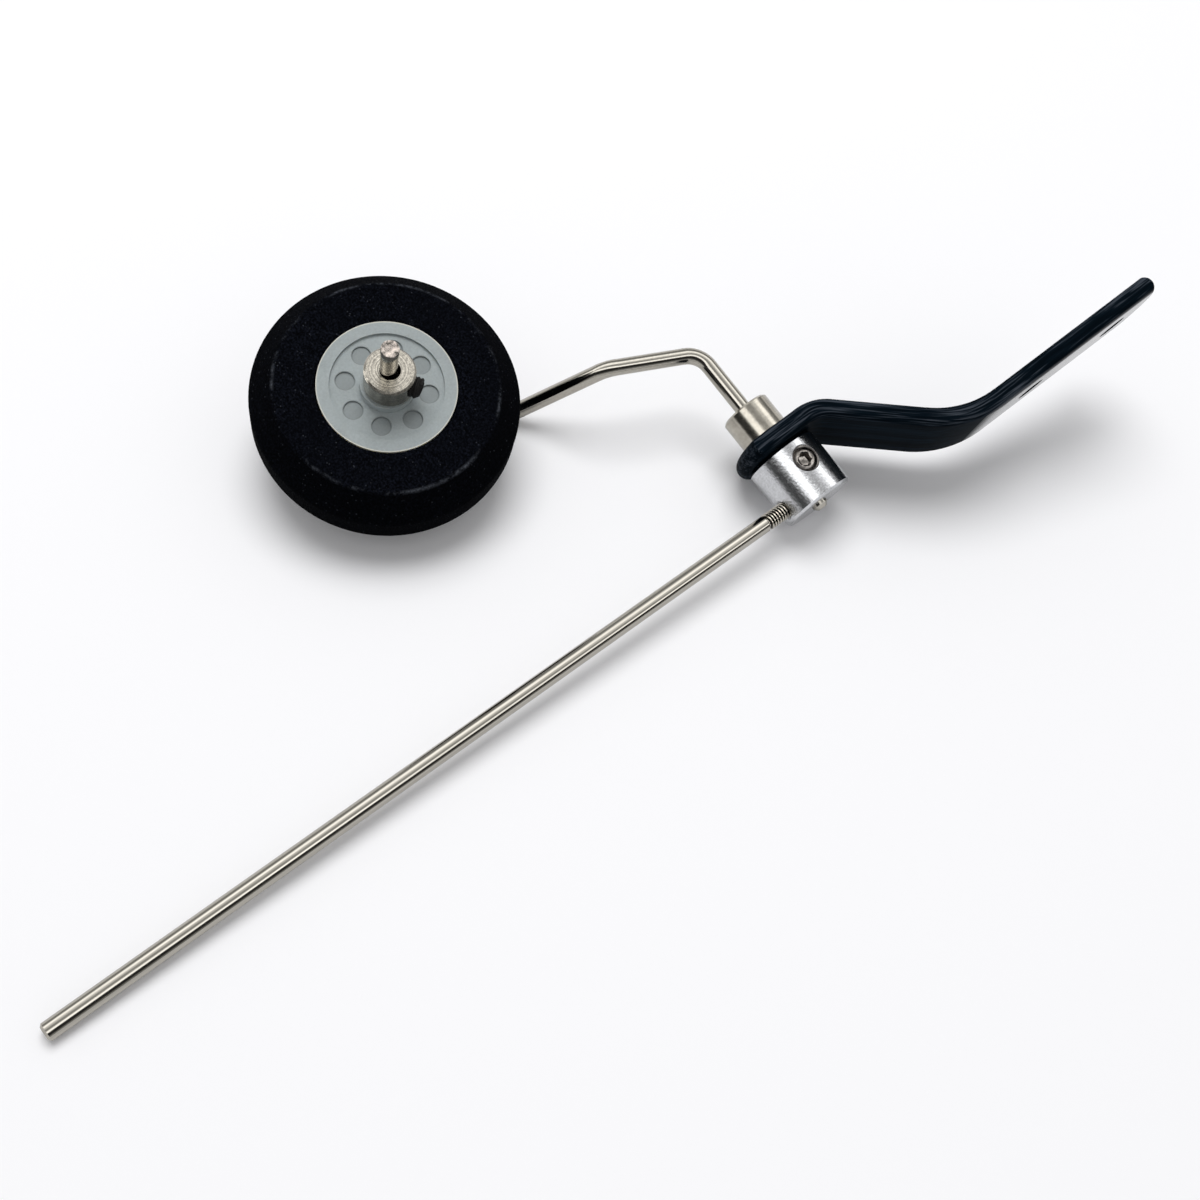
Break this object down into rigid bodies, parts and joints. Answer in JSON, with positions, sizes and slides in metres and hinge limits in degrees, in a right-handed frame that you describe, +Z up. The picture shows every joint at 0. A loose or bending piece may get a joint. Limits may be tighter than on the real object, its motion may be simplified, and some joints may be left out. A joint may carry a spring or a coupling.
{
  "type": "tailwheel assembly",
  "caption": "Steerable model-aircraft tailwheel: joggled carbon leaf, bent wire strut on a vertical pivot, foam wheel on its axle, clamped steering hub and tiller rod.",
  "frame": {"origin": "midway between the two mounting holes, on the leaf's upper mounting face, which meets the underside of the fuselage", "axes": "+X forwards along the aircraft, +Y to its left, +Z up along the steering pivot"},
  "size_m": [0.1473, 0.0346, 0.0588],
  "materials": {
    "carbon_leaf": "satin carbon-fibre laminate, epoxy bound",
    "bush_brass": "turned brass",
    "spring_wire": "bright plated spring steel wire",
    "nickel_collar": "turned steel, nickel plated",
    "bright_screw": "bright steel set screw",
    "hub_aluminium": "turned bar, as machined",
    "foam_tyre": "matt closed-cell foam rubber",
    "nylon_hub": "moulded natural nylon, slightly translucent",
    "black_screw": "black oxide steel set screw"
  },
  "bodies": {
    "bracket": {"leaf_bracket": "carbon_leaf", "pivot_bush": "bush_brass"},
    "steering": {"strut_wire": "spring_wire", "pivot_collar": "nickel_collar", "pivot_collar_screw": "bright_screw", "steering_hub": "hub_aluminium", "steering_hub_screw": "bright_screw", "tiller_rod": "spring_wire", "axle_collar": "nickel_collar", "axle_collar_screw": "black_screw"},
    "wheel": {"tyre": "foam_tyre", "wheel_hub_outer": "nylon_hub", "wheel_hub_inner": "nylon_hub"}
  },
  "joints": [
    {"name": "steering", "type": "hinge", "parent": "bracket", "child": "steering", "pos_m": [-0.03645, 0, -0.0122], "axis": [0, 0, 1], "range_deg": [-124.6, 155.4]},
    {"name": "wheel_spin", "type": "hinge", "parent": "steering", "child": "wheel", "pos_m": [-0.07112, 0.00549, -0.0434], "axis": [0.1564, 0.9877, 0], "continuous": true}
  ]
}
